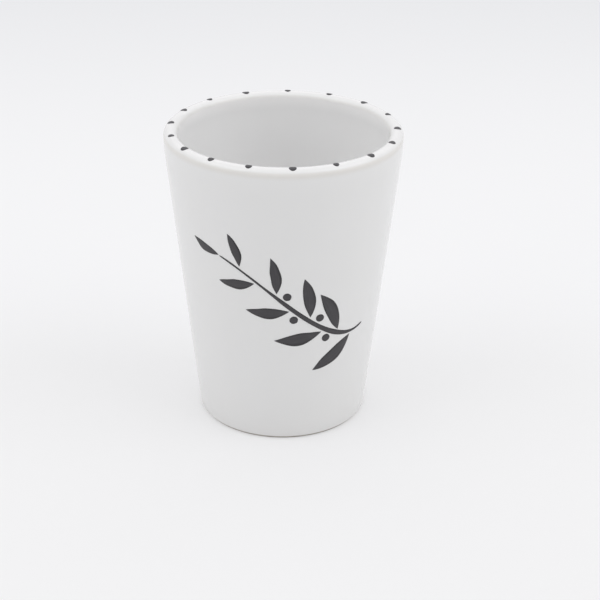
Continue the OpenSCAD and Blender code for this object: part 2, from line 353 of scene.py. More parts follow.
class SprigShape:
    """Places of the sprig's strokes. A place is (way round to the right of its middle, height)."""

    def __init__(self, sprig, shape):
        self.sprig = sprig
        self.shape = shape
        self.path = [
            Vector((sprig.reach * right, sprig.height + sprig.rise * up)) for right, up in STEM_PATH
        ]
        self.leaf_pitch = (1 - FIRST_LEAF) / (sprig.leaf_count - 1)

    def stem_place(self, t):
        """Point of the stem's centre line."""
        a, b, c, d = self.path
        return (1 - t) ** 3 * a + 3 * t * (1 - t) ** 2 * b + 3 * t * t * (1 - t) * c + t ** 3 * d

    def stem_heading(self, t):
        """Angle at which the stem runs."""
        a, b, c, d = self.path
        slope = (1 - t) ** 2 * (b - a) + 2 * t * (1 - t) * (c - b) + t * t * (d - c)
        return math.atan2(slope.y, slope.x)

    def stem_half(self, t):
        """Half the stem's width, fullest nearer the root where the brush was pressed."""
        press = math.sin(math.pi * (1 - t) ** STEM_PRESS)
        return self.sprig.stem_width / 2 * (STEM_END_SHARE + (1 - STEM_END_SHARE) * press)

    def beside_stem(self, t, distance):
        """A point beside the stem, to its left when the distance is positive."""
        way = self.stem_heading(t)
        return self.stem_place(t) + distance * Vector((-math.sin(way), math.cos(way)))

    def wall_turn(self, place):
        """Angle from the front at which a place lies."""
        return self.sprig.turn + place.x / self.shape.wall_radius(place.y)

    def leaf_place(self, leaf):
        """Share of the stem at which a leaf grows. Leaves are counted from 1."""
        return FIRST_LEAF + (leaf - 1) * self.leaf_pitch

    def leaf_side(self, leaf):
        """1 on the stem's left, -1 on its right, 0 for the leaf that ends it."""
        if leaf == self.sprig.leaf_count:
            return 0
        return 1 if leaf % 2 else -1

    def leaves(self):
        """Turn, height, heading, length and side of each leaf's middle."""
        sprig = self.sprig
        found = []
        for i in range(1, sprig.leaf_count + 1):
            t = self.leaf_place(i)
            side = self.leaf_side(i)
            way = self.stem_heading(t) + side * sprig.leaf_splay
            along = Vector((math.cos(way), math.sin(way)))
            change = sprig.leaf_tip_length - sprig.leaf_length
            size = sprig.leaf_length + change * (i - 1) / (sprig.leaf_count - 1)
            base = self.beside_stem(t, side * (self.stem_half(t) + sprig.stroke_gap))
            if side == 0:
                base = self.stem_place(t) + sprig.stroke_gap * along
            middle = base + size / 2 * along
            found.append((self.wall_turn(middle), middle.y, way, size, -1.0 if side < 0 else 1.0))
        return found

    def berries(self):
        """Turn, height, heading, diameter and side of each berry's middle."""
        sprig = self.sprig
        found = []
        for i in range(1, sprig.berry_count + 1):
            t = self.leaf_place(i + 1) + BERRY_LEAD * self.leaf_pitch
            side = -self.leaf_side(i + 1)
            away = self.stem_half(t) + sprig.stroke_gap + sprig.berry_diameter / 2
            middle = self.beside_stem(t, side * away)
            found.append((self.wall_turn(middle), middle.y, 0.0, sprig.berry_diameter, 1.0))
        return found


# Node trees

NODE_STEP = 190


def alone(operation):
    """A method for a sum of a field alone."""
    return lambda self: self.sheet.math(operation, self)


def both_ways(operation):
    """Two methods for a sum of a field and another value: with the field first, and with it last."""
    return (
        lambda self, other: self.sheet.math(operation, self, other),
        lambda self, other: self.sheet.math(operation, other, self),
    )


class Field:
    """A socket of a node sheet that can be used in sums like a number."""

    def __init__(self, sheet, socket):
        self.sheet = sheet
        self.socket = socket

    __add__, __radd__ = both_ways("ADD")
    __sub__, __rsub__ = both_ways("SUBTRACT")
    __mul__, __rmul__ = both_ways("MULTIPLY")
    __truediv__, __rtruediv__ = both_ways("DIVIDE")
    absolute = alone("ABSOLUTE")
    root = alone("SQRT")
    sine = alone("SINE")
    cosine = alone("COSINE")
    tangent = alone("TANGENT")
    arcsine = alone("ARCSINE")


class NodeSheet:
    """Fills a node tree with short calls. Each returns a node, or a Field of the socket that comes out."""

    def __init__(self, tree):
        self.tree = tree

    def add(self, kind, inputs=None, **options):
        """Adds a node, sets its options and feeds its inputs, named or counted."""
        node = self.tree.nodes.new(kind)
        node.location = (len(self.tree.nodes) * NODE_STEP, 0)
        for option, value in options.items():
            setattr(node, option, value)
        self.fill(node, inputs or {})
        return node

    def fill(self, node, inputs):
        """Feeds a node's inputs, named or counted."""
        for key, value in inputs.items():
            self.feed(node.inputs[key], value)

    def feed(self, socket, value):
        """Links a field or a socket to an input, or sets a plain value on it."""
        if isinstance(value, Field):
            value = value.socket
        if isinstance(value, bpy.types.NodeSocket):
            self.tree.links.new(value, socket)
        else:
            socket.default_value = value

    def field(self, node, output=0):
        """One output of a node as a Field."""
        return Field(self, node.outputs[output])

    def math(self, operation, *values):
        """A sum of one value or two."""
        node = self.add("ShaderNodeMath", dict(enumerate(values)), operation=operation)
        return self.field(node)

    def split(self, vector):
        """The three parts of a vector."""
        node = self.add("ShaderNodeSeparateXYZ", {0: vector})
        return [self.field(node, i) for i in range(3)]

    def join(self, x, y, z):
        """A vector from its three parts."""
        return self.field(self.add("ShaderNodeCombineXYZ", {0: x, 1: y, 2: z}))

    def noise(self, vector, scale, detail, roughness=0.5):
        """Soft noise round 0.5."""
        inputs = {"Vector": vector, "Scale": scale, "Detail": detail, "Roughness": roughness}
        return self.field(self.add("ShaderNodeTexNoise", inputs), "Fac")

    def ramp(self, value, low, high, to_low=0.0, to_high=1.0):
        """A soft step: to_low at and before low, to_high at and past high."""
        inputs = {0: value, 1: low, 2: high, 3: to_low, 4: to_high}
        return self.field(self.add("ShaderNodeMapRange", inputs, interpolation_type="SMOOTHSTEP"))

    def band(self, value, rise, fall):
        """A soft band, which comes in over one range of the value and goes out over another."""
        return self.ramp(value, *rise) * self.ramp(value, *fall)


SOCKET_KINDS = {
    float: "NodeSocketFloat",
    int: "NodeSocketInt",
    tuple: "NodeSocketVector",
    bpy.types.Material: "NodeSocketMaterial",
}
MERGE_DISTANCE = 1e-6


class ShapeTree(NodeSheet):
    """A Geometry Nodes tree for a piece or a group of like pieces, with an input for each named value."""

    def __init__(self, name, values):
        super().__init__(bpy.data.node_groups.new(name, "GeometryNodeTree"))
        face = self.tree.interface
        face.new_socket("Geometry", in_out="INPUT", socket_type="NodeSocketGeometry")
        for label, value in values.items():
            face.new_socket(label, in_out="INPUT", socket_type=SOCKET_KINDS[type(value)])
        face.new_socket("Geometry", in_out="OUTPUT", socket_type="NodeSocketGeometry")
        self.entry = self.add("NodeGroupInput")

    def given(self, label):
        """One of the tree's named inputs."""
        return self.field(self.entry, label)

    def step(self, kind, geometry, inputs=None, **options):
        """Adds a node that works on the geometry, and returns what comes out of it."""
        node = self.add(kind, inputs, **options)
        self.feed(node.inputs[0], geometry)
        return node.outputs[0]

    def keep(self, geometry, label, value, kind="FLOAT"):
        """Keeps a value on each point under a name."""
        inputs = {"Name": label, "Value": value}
        return self.step("GeometryNodeStoreNamedAttribute", geometry, inputs, data_type=kind)

    def keep_stroke(self, geometry, along, across, number_of):
        """Keeps where each point lies on its stroke, and the stroke's number, for the enamel's streaks."""
        return self.keep(geometry, "stroke", self.join(along, across, number_of), "FLOAT_VECTOR")

    def kept(self, label):
        """A value that is kept under a name."""
        node = self.add("GeometryNodeInputNamedAttribute", {"Name": label}, data_type="FLOAT")
        return self.field(node, "Attribute")

    def place(self, geometry, x, y, z):
        """Moves each point to a place."""
        return self.step("GeometryNodeSetPosition", geometry, {"Position": self.join(x, y, z)})

    def position(self):
        """The three parts of a point's place."""
        return self.split(self.field(self.add("GeometryNodeInputPosition")))

    def index(self):
        """A point's count, from 0."""
        return self.field(self.add("GeometryNodeInputIndex"))

    def merge(self, geometry):
        """Makes points that meet one point."""
        return self.step("GeometryNodeMergeByDistance", geometry, {"Distance": MERGE_DISTANCE})

    def close(self, geometry):
        """Smooths, realizes and finishes what the tree has grown."""
        geometry = self.step("GeometryNodeSetShadeSmooth", geometry)
        geometry = self.step("GeometryNodeRealizeInstances", geometry)
        geometry = self.step("GeometryNodeSetMaterial", geometry, {"Material": self.given("Finish")})
        self.feed(self.add("NodeGroupOutput").inputs[0], geometry)
        return self.tree


# A noise's scale and detail are named together, and its roughness with them where it isn't the usual one.
EDGE_SWELLS = (1.7, 2.0)


def turned_tree(values):
    """Turns a half section, drawn in the XZ plane, once round the Z axis. All turned pieces share it."""
    if "Turned ware" in bpy.data.node_groups:
        return bpy.data.node_groups["Turned ware"]
    tree = ShapeTree("Turned ware", values)
    section = tree.given("Geometry")
    segments = tree.given("Segments")
    rows = tree.field(tree.add("GeometryNodeAttributeDomainSize", {0: section}), "Point Count")
    grid = tree.add("GeometryNodeMeshGrid", {"Vertices X": segments + 1, "Vertices Y": rows})
    index = tree.index()
    turn = tree.math("FLOOR", (index + 0.5) / rows) * FULL_TURN / segments
    drawn = tree.add("GeometryNodeSampleIndex", {
        "Geometry": section,
        "Value": tree.add("GeometryNodeInputPosition").outputs[0],
        "Index": tree.math("MODULO", index, rows),
    }, data_type="FLOAT_VECTOR")
    radius, _, height = tree.split(tree.field(drawn))
    cosine = turn.cosine()
    sine = turn.sine()
    wander = tree.noise(tree.join(cosine, sine, 0.0), *EDGE_SWELLS) - 0.5
    radius = radius * (1.0 + wander * tree.given("Edge Wander"))
    ware = tree.place(grid.outputs["Mesh"], radius * cosine, radius * sine, height)
    return tree.close(tree.merge(ware))


def spread(tree, geometry, segments, rings):
    """Puts a unit ball at every point and makes them one mesh, in which each keeps its point's values."""
    ball = tree.add("GeometryNodeMeshUVSphere", {"Segments": segments, "Rings": rings})
    placed = tree.step("GeometryNodeInstanceOnPoints", geometry, {"Instance": ball.outputs["Mesh"]})
    return tree.step("GeometryNodeRealizeInstances", placed)


EDGE_FULLNESS = 0.42


def lift_of(tree, height):
    """Height of enamel over the glaze: full with soft edges above, and sunk a little below."""
    above = tree.math("POWER", tree.math("MAXIMUM", height, 0.0), EDGE_FULLNESS)
    below = tree.math("LESS_THAN", height, 0.0)
    return above * tree.given("Enamel") - below * tree.given("Seat")


DAB_SEGMENTS = 40
DAB_RINGS = 14
DAB_SWELLS = (0.9, 1.5)
DAB_SEED = 7.31
DAB_MIDDLE = 1e-5


def round_dabs(tree, points):
    """Puts a round dab at every point, each uneven in its own way.

    Returns the dabs, the two flat places of each of their points and its lift over the glaze.
    """
    dabs = spread(tree, points, DAB_SEGMENTS, DAB_RINGS)
    x, y, z = tree.position()
    dabs = tree.keep_stroke(dabs, x, y, tree.kept("number"))
    far = tree.math("MAXIMUM", (x * x + y * y).root(), DAB_MIDDLE)
    seed = tree.join(x / far, y / far, tree.kept("number") * DAB_SEED)
    swell = 1.0 + (tree.noise(seed, *DAB_SWELLS) - 0.5) * 2.0 * tree.given("Tremble")
    return dabs, x * swell, y * swell, lift_of(tree, z)


SIZE_TURN = math.radians(137.5)
SECOND_DRIFT_PART = 3.0


def lip_dot_tree(values):
    """Dabs of enamel along the crown of the lip, at even turns with the slow drift of a hand."""
    tree = ShapeTree("Lip dots", values)
    index = tree.index()
    turn = index * FULL_TURN / tree.given("Dot Count")
    off = turn - tree.given("Drift Peak")
    drift = off.cosine() + (off * 2.0).cosine() / SECOND_DRIFT_PART
    uneven = 1.0 + tree.given("Unevenness") * ((index + 1.0) * SIZE_TURN).sine()
    points = tree.add("GeometryNodePoints", {"Count": tree.given("Dot Count")}).outputs[0]
    points = tree.keep(points, "turn", tree.given("Start") + turn + tree.given("Drift") * drift)
    points = tree.keep(points, "reach", tree.given("Dot Diameter") / 2.0 * uneven)
    points = tree.keep(points, "number", index + 1.0)
    dabs, along, across, lift = round_dabs(tree, points)
    reach = tree.kept("reach")
    lip_radius = tree.given("Lip Radius")
    lip_round = tree.given("Lip Round")
    tilt = ((across * reach + tree.given("Dot Offset")) / lip_round).arcsine()
    place = tree.kept("turn") - along * reach / lip_radius
    swell = lip_round + lift
    radius = lip_radius + swell * tilt.sine()
    height = tree.given("Lip Height") + swell * tilt.cosine()
    return tree.close(tree.place(dabs, radius * place.cosine(), radius * place.sine(), height))


def glazed_radius(tree, height):
    """Radius of the glazed wall at a height."""
    return tree.given("Foot Radius") + height * tree.given("Lean").tangent()


def lay_on_wall(tree, geometry, turn, height, lift):
    """Moves points to the glazed wall: turn from the front, height, and lift over the glaze."""
    lean = tree.given("Lean")
    radius = glazed_radius(tree, height) + lift * lean.cosine()
    x = radius * turn.sine()
    y = radius * turn.cosine() * -1.0
    return tree.place(geometry, x, y, height - lift * lean.sine())


def stroke_on_wall(tree, geometry, along, across, lift):
    """Turns a flat stroke to its heading and lays it on the wall about its own middle."""
    cosine = tree.kept("heading").cosine()
    sine = tree.kept("heading").sine()
    right = along * cosine - across * sine
    up = (along * sine + across * cosine) * tree.given("Lean").cosine()
    height = tree.kept("height") + up
    turn = tree.kept("turn") + (right / glazed_radius(tree, height)).arcsine()
    return lay_on_wall(tree, geometry, turn, height, lift)


LEAF_SEGMENTS = 20
LEAF_RINGS = 56
LEAF_POINT = 1e-4
LEAF_SWELLS = (1.3, 0.0)
LEAF_SEED = 5.17


def leaf_tree(values):
    """Leaf strokes of the brush: pointed at both ends, with a full outer and a flat inner edge."""
    tree = ShapeTree("Sprig leaves", values)
    strokes = spread(tree, tree.given("Geometry"), LEAF_SEGMENTS, LEAF_RINGS)
    down, y, x = tree.position()
    ring = tree.math("MAXIMUM", (1.0 - tree.math("MINIMUM", x * x, 1.0)).root(), LEAF_POINT)
    across = y / ring
    outward = across * tree.kept("side")
    outer = tree.math("GREATER_THAN", outward, 0.0)
    size = tree.kept("size")
    rise = outer * tree.given("Belly") + (1.0 - outer) * tree.given("Hollow")
    rise = rise * (size / tree.given("Leaf Length"))
    seed = tree.join(x, tree.math("SIGN", outward), tree.kept("number") * LEAF_SEED)
    tremble = (tree.noise(seed, *LEAF_SWELLS) - 0.5) * 2.0 * tree.given("Tremble")
    width = across * ring * ring * (rise + tremble)
    strokes = tree.keep_stroke(strokes, x, across, tree.kept("number"))
    lift = lift_of(tree, down / ring * -1.0) * ring.root()
    strokes = stroke_on_wall(tree, strokes, x * size / 2.0, width, lift)
    return tree.close(tree.merge(strokes))


def berry_tree(values):
    """Round dabs of enamel beside the stem."""
    tree = ShapeTree("Sprig berries", values)
    dabs, along, across, lift = round_dabs(tree, tree.given("Geometry"))
    half = tree.kept("size") / 2.0
    return tree.close(stroke_on_wall(tree, dabs, along * half, across * half, lift))


STEM_POINTS = 160
STEM_SIDES = 20
STEM_TIP = 0.012
STEM_TIP_WIDTH = 0.02
STEM_SWELLS = (6.0, 0.0)
STEM_STREAKS = 6.0
STEM_NUMBER = 0.5


def stem_tree(values):
    """The stem's long stroke: a tube along a curve, pressed flat and laid on the wall."""
    tree = ShapeTree("Sprig stem", values)
    line = tree.add("GeometryNodeCurvePrimitiveBezierSegment", {
        "Resolution": STEM_POINTS,
        "Start": tree.given("Root"),
        "Start Handle": tree.given("Root Handle"),
        "End Handle": tree.given("Tip Handle"),
        "End": tree.given("Tip"),
    }, mode="POSITION").outputs[0]
    line = tree.step("GeometryNodeResampleCurve", line, mode="EVALUATED")
    line = tree.step("GeometryNodeSetCurveNormal", line, mode="Z_UP")
    t = tree.index() / STEM_POINTS
    press = (tree.math("POWER", 1.0 - t, STEM_PRESS) * math.pi).sine()
    ends = tree.band(t, (0.0, STEM_TIP), (1.0, 1.0 - STEM_TIP))
    wobble = (tree.noise(tree.join(t, 0.0, 0.0), *STEM_SWELLS) - 0.5) * tree.given("Tremble")
    half = tree.given("Stem Width") / 2.0 * (STEM_END_SHARE + (1 - STEM_END_SHARE) * press) + wobble
    line = tree.keep(line, "half", half * tree.math("MAXIMUM", ends, STEM_TIP_WIDTH))
    line = tree.keep(line, "along", t)
    ring = tree.add("GeometryNodeCurvePrimitiveCircle", {"Resolution": STEM_SIDES, "Radius": 1.0})
    ring = tree.keep(ring.outputs[0], "around", tree.index() / STEM_SIDES)
    stem = tree.step("GeometryNodeCurveToMesh", line, {
        "Profile Curve": ring,
        "Scale": tree.kept("half"),
        "Fill Caps": True,
    })
    x, y, z = tree.position()
    lift = lift_of(tree, z / tree.kept("half"))
    across = (tree.kept("around") * FULL_TURN).cosine()
    stem = tree.keep_stroke(stem, tree.kept("along") * STEM_STREAKS, across, STEM_NUMBER)
    turn = tree.given("Turn") + x / glazed_radius(tree, y)
    return tree.close(lay_on_wall(tree, stem, turn, y, lift))


# Finishes

# A range holds the value at which a change starts and the one at which it is whole, and then what it runs
# from and to where these aren't 0 and 1. A bump holds a height and a strength.
PER_MM = 1.0 / MM


def material_sheet(name):
    """A new material, its sheet and its surface shader."""
    material = bpy.data.materials.new(name)
    material.use_nodes = True
    return material, NodeSheet(material.node_tree), material.node_tree.nodes["Principled BSDF"]


# Where the sockets for colours stand on a mix node, which has others for numbers and vectors
MIX_LOW = 6
MIX_HIGH = 7
MIX_RESULT = 2


def blend_colour(sheet, factor, low, high):
    """Mixes two colours, each a plain colour or a field."""
    node = sheet.add("ShaderNodeMix", {"Factor": factor}, data_type="RGBA")
    for place, value in ((MIX_LOW, low), (MIX_HIGH, high)):
        sheet.feed(node.inputs[place], value if isinstance(value, Field) else (*value, 1.0))
    return sheet.field(node, MIX_RESULT)


def bump(sheet, height, distance, strength, below=None):
    """A surface normal from heights, over another bump if one is given."""
    inputs = {"Height": height, "Distance": distance, "Strength": strength}
    if below is not None:
        inputs["Normal"] = below
    return sheet.field(sheet.add("ShaderNodeBump", inputs))


def object_place(sheet):
    """Object coordinates, whole."""
    return sheet.field(sheet.add("ShaderNodeTexCoord"), "Object")


# Ranges round the lip are angles from its crown, in radians, outwards positive. The outside's depths are
# measured under the face of the wall, and the heights of the painted light low inside are shares of the
# lip's height.
GLAZE_CLOUDS = (0.055 * PER_MM, 3.0)
GLAZE_CLOUD_RANGE = (0.3, 0.7)
GLAZE_CLOUD_THIN = 0.04
CROWN_SHADE_RANGE = (0.95, 0.45)
SHOULDER_BAND = ((0.9, 1.25), (2.2, 1.45))
SHOULDER_THIN = 0.6
INNER_EDGE_BAND = ((-0.8, -1.1), (-1.6, -1.3))
INNER_EDGE_THIN = 0.3
INNER_LIP_LIGHT_RANGE = (-1.2, -1.6)
INNER_LIP_LIGHT_DROP = 2.4 * MM
OUTSIDE_DEPTHS = (1.6 * MM, 1.0 * MM)
LOW_INSIDE_LIGHT_HEIGHTS = (0.88, 0.7)
LOW_INSIDE_LIGHT_SHARE = 0.6
FOOT_SHADE_RANGE = (16.0 * MM, 1.0 * MM)
FOOT_PAINTED_SHADE = 0.1
FOOT_LINE = 0.5 * MM
FOOT_LINE_THIN = 0.4
SPECK_CELLS = 0.12 * PER_MM
SPECK_CHOICE = (0.80, 0.81)
SPECK_RANGE = (0.055, 0.02)
SPECK_SHARE = 0.5
GLAZE_SATIN = (0.3 * PER_MM, 4.0)
GLAZE_ROUGHNESS = (0.25, 0.75, 0.11, 0.19)
GLAZE_WAVES = (0.11 * PER_MM, 1.0)
GLAZE_WAVE_BUMP = (0.12 * MM, 0.5)
GLAZE_PEEL = (0.9 * PER_MM, 2.0)
GLAZE_PEEL_BUMP = (0.006 * MM, 0.6)
GLAZE_IOR = 1.5


def white_glaze(settings):
    """White glaze: soft gloss, thinner on the lip's edges and at the glaze's lower edge, with a few specks.

    Painted shade darkens the crown of the lip and the outside towards the table, and painted light
    brightens the inside under the lip and low down.
    """
    material, sheet, shader = material_sheet("soft_white_glaze")
    finish = settings.finish
    shape = CupShape(settings.cup)
    lip_radius, lip_height = shape.lip_centre
    place = object_place(sheet)
    x, y, z = sheet.split(place)
    radius = (x * x + y * y).root()
    clouds = sheet.ramp(sheet.noise(place, *GLAZE_CLOUDS), *GLAZE_CLOUD_RANGE)
    tilt = sheet.math("ARCTAN2", radius - lip_radius, z - lip_height)
    # Painted shade on the crown of the lip, where the light above falls most
    crown = sheet.ramp(tilt.absolute(), *CROWN_SHADE_RANGE)
    shoulder = sheet.band(tilt, *SHOULDER_BAND)
    inner_edge = sheet.band(tilt, *INNER_EDGE_BAND)
    # Painted light on the inside just under the lip
    painted_light_under_inner_lip = sheet.ramp(tilt, *INNER_LIP_LIGHT_RANGE) * sheet.ramp(z, lip_height - INNER_LIP_LIGHT_DROP, lip_height)
    faces = [shape.foot_radius - depth for depth in OUTSIDE_DEPTHS]
    outside = sheet.ramp(radius - z * math.tan(shape.lean), *faces)
    # Painted light on the lower inside, which also reaches the glaze under the floor
    painted_light_low_inside = sheet.ramp(z, *[part * lip_height for part in LOW_INSIDE_LIGHT_HEIGHTS]) * (1.0 - outside)
    # Painted shade: the outside glaze goes darker and warmer towards the table
    foot = sheet.ramp(z, *FOOT_SHADE_RANGE)
    foot_line = sheet.ramp(z, shape.glaze_stop + FOOT_LINE, shape.glaze_stop)
    # The thin glaze's colour carries real thinning on the lip's edges and at the glaze's lower edge, and
    # also the painted shade towards the table
    thin = shoulder * SHOULDER_THIN + inner_edge * INNER_EDGE_THIN
    thin = thin + outside * (foot * FOOT_PAINTED_SHADE + foot_line * FOOT_LINE_THIN) + clouds * GLAZE_CLOUD_THIN
    body = blend_colour(sheet, thin, finish.glaze, finish.thin_glaze)
    body = blend_colour(sheet, crown, body, finish.crown_painted_shade)
    body = blend_colour(sheet, painted_light_under_inner_lip + painted_light_low_inside * LOW_INSIDE_LIGHT_SHARE, body, finish.painted_inside_light)
    cells = sheet.add("ShaderNodeTexVoronoi", {"Vector": place, "Scale": SPECK_CELLS})
    chosen = sheet.ramp(sheet.split(sheet.field(cells, "Color"))[0], *SPECK_CHOICE)
    specks = sheet.ramp(sheet.field(cells, "Distance"), *SPECK_RANGE) * chosen * SPECK_SHARE
    waves = bump(sheet, sheet.noise(place, *GLAZE_WAVES), *GLAZE_WAVE_BUMP)
    sheet.fill(shader, {
        "Base Color": blend_colour(sheet, specks, body, finish.speck),
        "Roughness": sheet.ramp(sheet.noise(place, *GLAZE_SATIN), *GLAZE_ROUGHNESS),
        "Normal": bump(sheet, sheet.noise(place, *GLAZE_PEEL), *GLAZE_PEEL_BUMP, waves),
        "IOR": GLAZE_IOR,
    })
    return material


# Streaks are stretched along the stroke, across it and from stroke to stroke.
STREAK_STRETCH = (0.8, 5.0, 3.0)
STREAKS = (1.6, 4.0)
STREAK_RANGE = (0.45, 0.8)
STREAK_THIN = 0.5
STREAK_BUMP = (0.02 * MM, 0.5)
ENAMEL_CLOUDS = (0.6 * PER_MM, 3.0)
ENAMEL_CLOUD_RANGE = (0.5, 0.8)
ENAMEL_CLOUD_THIN = 0.3
ENAMEL_CLOUD_BUMP = (0.01 * MM, 0.4)
ENAMEL_EDGE_RANGE = (0.55, 0.95)
ENAMEL_ROUGHNESS = (0.2, 0.8, 0.34, 0.48)


def charcoal_enamel(settings):
    """Charcoal enamel: brushed on, with faint streaks along the stroke and darker edges where it pools."""
    material, sheet, shader = material_sheet("brushed_charcoal_enamel")
    finish = settings.finish
    stroke = sheet.split(sheet.field(sheet.add("ShaderNodeAttribute", attribute_name="stroke"), "Vector"))
    stretched = [part * amount for part, amount in zip(stroke, STREAK_STRETCH)]
    streak = sheet.noise(sheet.join(*stretched), *STREAKS)
    cloud = sheet.noise(object_place(sheet), *ENAMEL_CLOUDS)
    edge = sheet.ramp(stroke[1].absolute(), *ENAMEL_EDGE_RANGE)
    thin = sheet.ramp(streak, *STREAK_RANGE) * STREAK_THIN
    thin = thin + sheet.ramp(cloud, *ENAMEL_CLOUD_RANGE) * ENAMEL_CLOUD_THIN
    body = blend_colour(sheet, thin, finish.enamel, finish.thin_enamel)
    strokes = bump(sheet, streak, *STREAK_BUMP)
    sheet.fill(shader, {
        "Base Color": blend_colour(sheet, edge, body, finish.pooled_enamel),
        "Roughness": sheet.ramp(streak, *ENAMEL_ROUGHNESS),
        "Normal": bump(sheet, cloud, *ENAMEL_CLOUD_BUMP, strokes),
    })
    return material


CLAY_GRAIN = (2.2 * PER_MM, 4.0, 0.6)
CLAY_GRAIN_RANGE = (0.55, 0.75)
CLAY_GRAIN_STAIN = 0.25
CLAY_GRAIN_BUMP = (0.03 * MM, 0.7)
CLAY_PATCHES = (0.25 * PER_MM, 3.0)
WEAR_AND_SHADE_HEIGHTS = (0.5 * MM, 0.05 * MM)
WORN_PATCHES = (0.25, 0.65, 0.55, 1.0)
WEAR_AND_SHADE_SHARE = 0.8
CLAY_ROUGHNESS = (0.2, 0.8, 0.7, 0.92)


def fired_clay(settings):
    """Fired clay: matte and grainy, darker near the table.

    The foot ring is worn on tables there, and painted shade lies along the line where the clay meets the
    table.
    """
    material, sheet, shader = material_sheet("bare_fired_clay")
    finish = settings.finish
    place = object_place(sheet)
    z = sheet.split(place)[2]
    grain = sheet.noise(place, *CLAY_GRAIN)
    patches = sheet.noise(place, *CLAY_PATCHES)
    # Wear on the foot ring, and painted shade along the line where the clay meets the table
    worn = sheet.ramp(z, *WEAR_AND_SHADE_HEIGHTS) * sheet.ramp(patches, *WORN_PATCHES)
    stain_and_shade = worn * WEAR_AND_SHADE_SHARE + sheet.ramp(grain, *CLAY_GRAIN_RANGE) * CLAY_GRAIN_STAIN
    sheet.fill(shader, {
        "Base Color": blend_colour(sheet, stain_and_shade, finish.clay, finish.clay_wear_and_shade),
        "Roughness": sheet.ramp(grain, *CLAY_ROUGHNESS),
        "Normal": bump(sheet, grain, *CLAY_GRAIN_BUMP),
    })
    return material


def looked_at(sheet):
    """1 where the camera, a gloss or a glass looks, and 0 where light only bounces."""
    path = sheet.add("ShaderNodeLightPath")
    looks = sheet.field(path, "Is Camera Ray") + sheet.field(path, "Is Glossy Ray")
    return sheet.math("MINIMUM", looks + sheet.field(path, "Is Transmission Ray"), 1.0)


# Ranges on the floor are distances from the cup: behind it for the first two, all round for the others.
BACK_FLOOR_LIGHT_RANGE = (0.0, 60.0 * MM)
FAR_FLOOR_SHADE_RANGE = (100.0 * MM, 430.0 * MM)
TENT_RANGE = (600.0 * MM, 1500.0 * MM)
EVEN_RANGE = (400.0 * MM, 1500.0 * MM)
FLOOR_CLOUDS = (3.0, 2.0)
FLOOR_CLOUD_SHARE = 0.1
FLOOR_ROUGHNESS = (0.2, 0.8, 0.8, 0.9)


def pale_floor(settings):
    """Pale floor: painted light just behind the cup and painted shade further back.

    Far out it is one with the tent.
    """
    material, sheet, shader = material_sheet("pale_floor")
    finish = settings.finish
    place = object_place(sheet)
    x, y, _ = sheet.split(place)
    away = (x * x + y * y).root()
    clouds = sheet.noise(place, *FLOOR_CLOUDS)
    # Painted shade far behind the cup and painted light just behind it
    far = sheet.ramp(y, *FAR_FLOOR_SHADE_RANGE) + (clouds - 0.5) * FLOOR_CLOUD_SHARE
    tone = blend_colour(sheet, sheet.ramp(y, *BACK_FLOOR_LIGHT_RANGE), finish.floor, finish.back_floor_painted_light)
    tone = blend_colour(sheet, far, tone, finish.far_floor_painted_shade)
    tone = blend_colour(sheet, sheet.ramp(away, *TENT_RANGE), tone, finish.tent)
    looks = looked_at(sheet)
    sheet.fill(shader, {
        "Base Color": blend_colour(sheet, looks, finish.floor_bounce, tone),
        "Roughness": sheet.ramp(clouds, *FLOOR_ROUGHNESS),
        "Specular IOR Level": 0.0,
    })
    glow = sheet.add("ShaderNodeEmission", {"Color": tone, "Strength": 1.0})
    even = sheet.ramp(away, *EVEN_RANGE, settings.stage.floor_glow, 1.0)
    mix = sheet.add("ShaderNodeMixShader", {0: looks * even, 1: shader.outputs[0], 2: glow.outputs[0]})
    sheet.feed(material.node_tree.nodes["Material Output"].inputs["Surface"], mix.outputs[0])
    return material


FINISHES = {
    "bare_fired_clay": fired_clay,
    "soft_white_glaze": white_glaze,
    "brushed_charcoal_enamel": charcoal_enamel,
}


def finish_named(name, settings):
    """The finish of that name, made when it is first asked for."""
    return bpy.data.materials.get(name) or FINISHES[name](settings)


# Pieces

SHARP_ANGLE = math.radians(50.0)


def line_mesh(name, section):
    """A mesh of one line through the points of a half section, in the XZ plane."""
    mesh = bpy.data.meshes.new(name)
    edges = [(i, i + 1) for i in range(len(section) - 1)]
    mesh.from_pydata([(p.x, 0.0, p.y) for p in section], edges, [])
    return mesh


def stroke_mesh(name, strokes):
    """A mesh of one point for each stroke, all at the origin, which keep where the strokes belong."""
    mesh = bpy.data.meshes.new(name)
    mesh.from_pydata([(0.0, 0.0, 0.0)] * len(strokes), [], [])
    numbered = [(*stroke, i + 1.0) for i, stroke in enumerate(strokes)]
    for column, label in enumerate(("turn", "height", "heading", "size", "side", "number")):
        values = mesh.attributes.new(label, "FLOAT", "POINT")
        values.data.foreach_set("value", [stroke[column] for stroke in numbered])
    return mesh


def grow(name, make_tree, mesh, values):
    """Runs a tree on a start mesh and keeps what it grows as a plain mesh."""
    tree = make_tree(values)
    piece = bpy.data.objects.new(name, mesh)
    modifier = piece.modifiers.new("Shape", "NODES")
    modifier.node_group = tree
    for item in tree.interface.items_tree:
        if item.in_out == "INPUT" and item.name in values:
            modifier[item.identifier] = values[item.name]
    bpy.context.scene.collection.objects.link(piece)
    graph = bpy.context.evaluated_depsgraph_get()
    grown = bpy.data.meshes.new_from_object(piece.evaluated_get(graph), depsgraph=graph)
    piece.modifiers.remove(modifier)
    piece.data = grown
    if not grown.polygons:
        raise RuntimeError(f"{name} has grown no faces")
    grown.name = name
    grown.set_sharp_from_angle(angle=SHARP_ANGLE)
    return piece


def settle(piece, nodes):
    """Ties a piece to the cup's one body and hides the imported nodes it stands for."""
    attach(piece, "root")
    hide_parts(*nodes)


